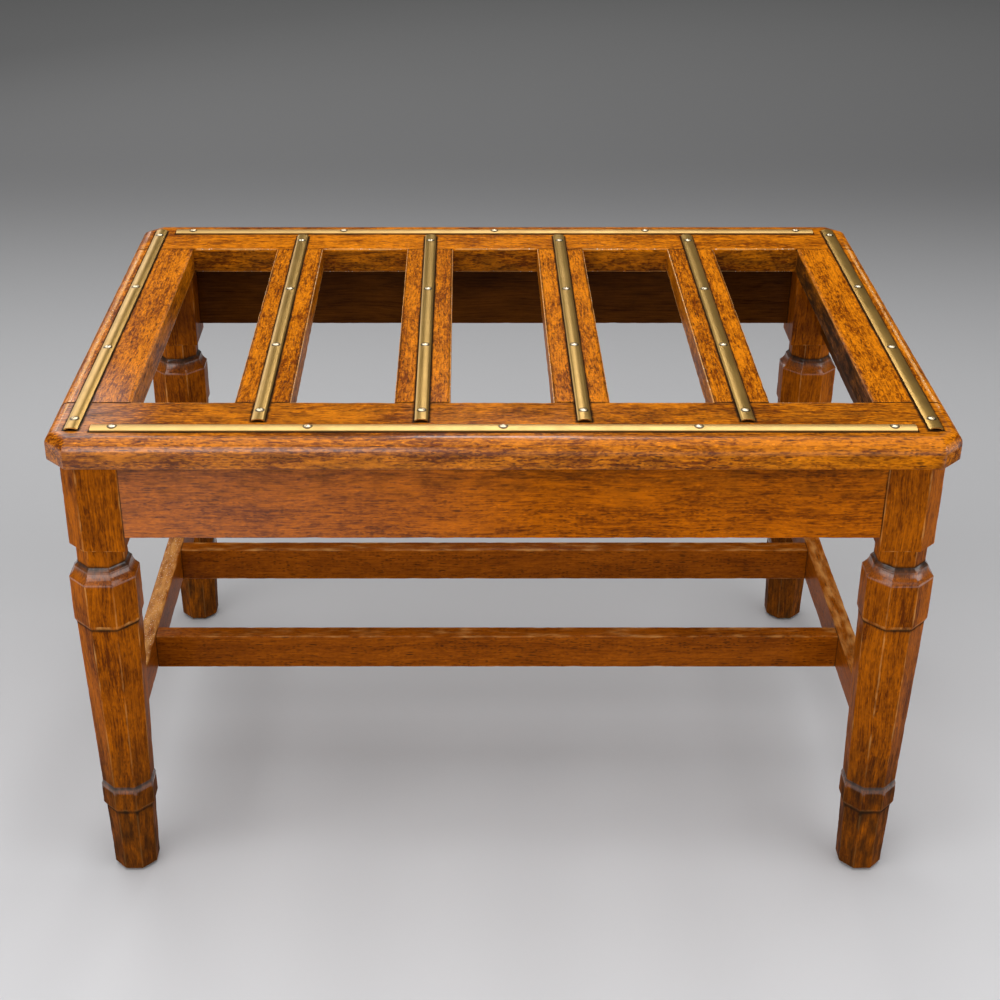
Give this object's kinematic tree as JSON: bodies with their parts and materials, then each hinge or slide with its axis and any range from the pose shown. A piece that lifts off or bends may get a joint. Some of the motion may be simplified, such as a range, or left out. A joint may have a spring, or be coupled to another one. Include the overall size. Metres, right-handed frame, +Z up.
{
  "type": "luggage rack",
  "caption": "Low oak stand for luggage: slatted top with brass cover strips, square-blocked octagonal legs, deep aprons and low stretchers.",
  "frame": {"origin": "on the floor under the middle of the rack", "axes": "+X along the rack's length, +Y towards its back, +Z up"},
  "size_m": [0.742, 0.52, 0.4626],
  "materials": {
    "oak_top": "polished golden oak, worn at the edges",
    "oak_base": "polished brown oak, darker in the recesses",
    "strip_brass": "worn satin brass with dark grime along its edges",
    "screw_brass": "brass screw heads, brighter on the crown, dark in the slot",
    "dowel_wood": "plain turned hardwood"
  },
  "bodies": {
    "root": {"front_top_rail": "oak_top", "rear_top_rail": "oak_top", "left_end_rail": "oak_top", "right_end_rail": "oak_top", "slat_1": "oak_top", "slat_2": "oak_top", "slat_3": "oak_top", "slat_4": "oak_top", "front_left_leg": "oak_base", "front_right_leg": "oak_base", "rear_left_leg": "oak_base", "rear_right_leg": "oak_base", "front_apron": "oak_base", "rear_apron": "oak_base", "left_apron": "oak_base", "right_apron": "oak_base", "left_side_stretcher": "oak_base", "right_side_stretcher": "oak_base", "front_long_stretcher": "oak_base", "rear_long_stretcher": "oak_base", "front_brass_strip": "strip_brass", "rear_brass_strip": "strip_brass", "left_brass_strip": "strip_brass", "right_brass_strip": "strip_brass", "slat_strip_1": "strip_brass", "slat_strip_2": "strip_brass", "slat_strip_3": "strip_brass", "slat_strip_4": "strip_brass", "strip_screws": "screw_brass", "top_dowels": "dowel_wood"}
  },
  "joints": []
}
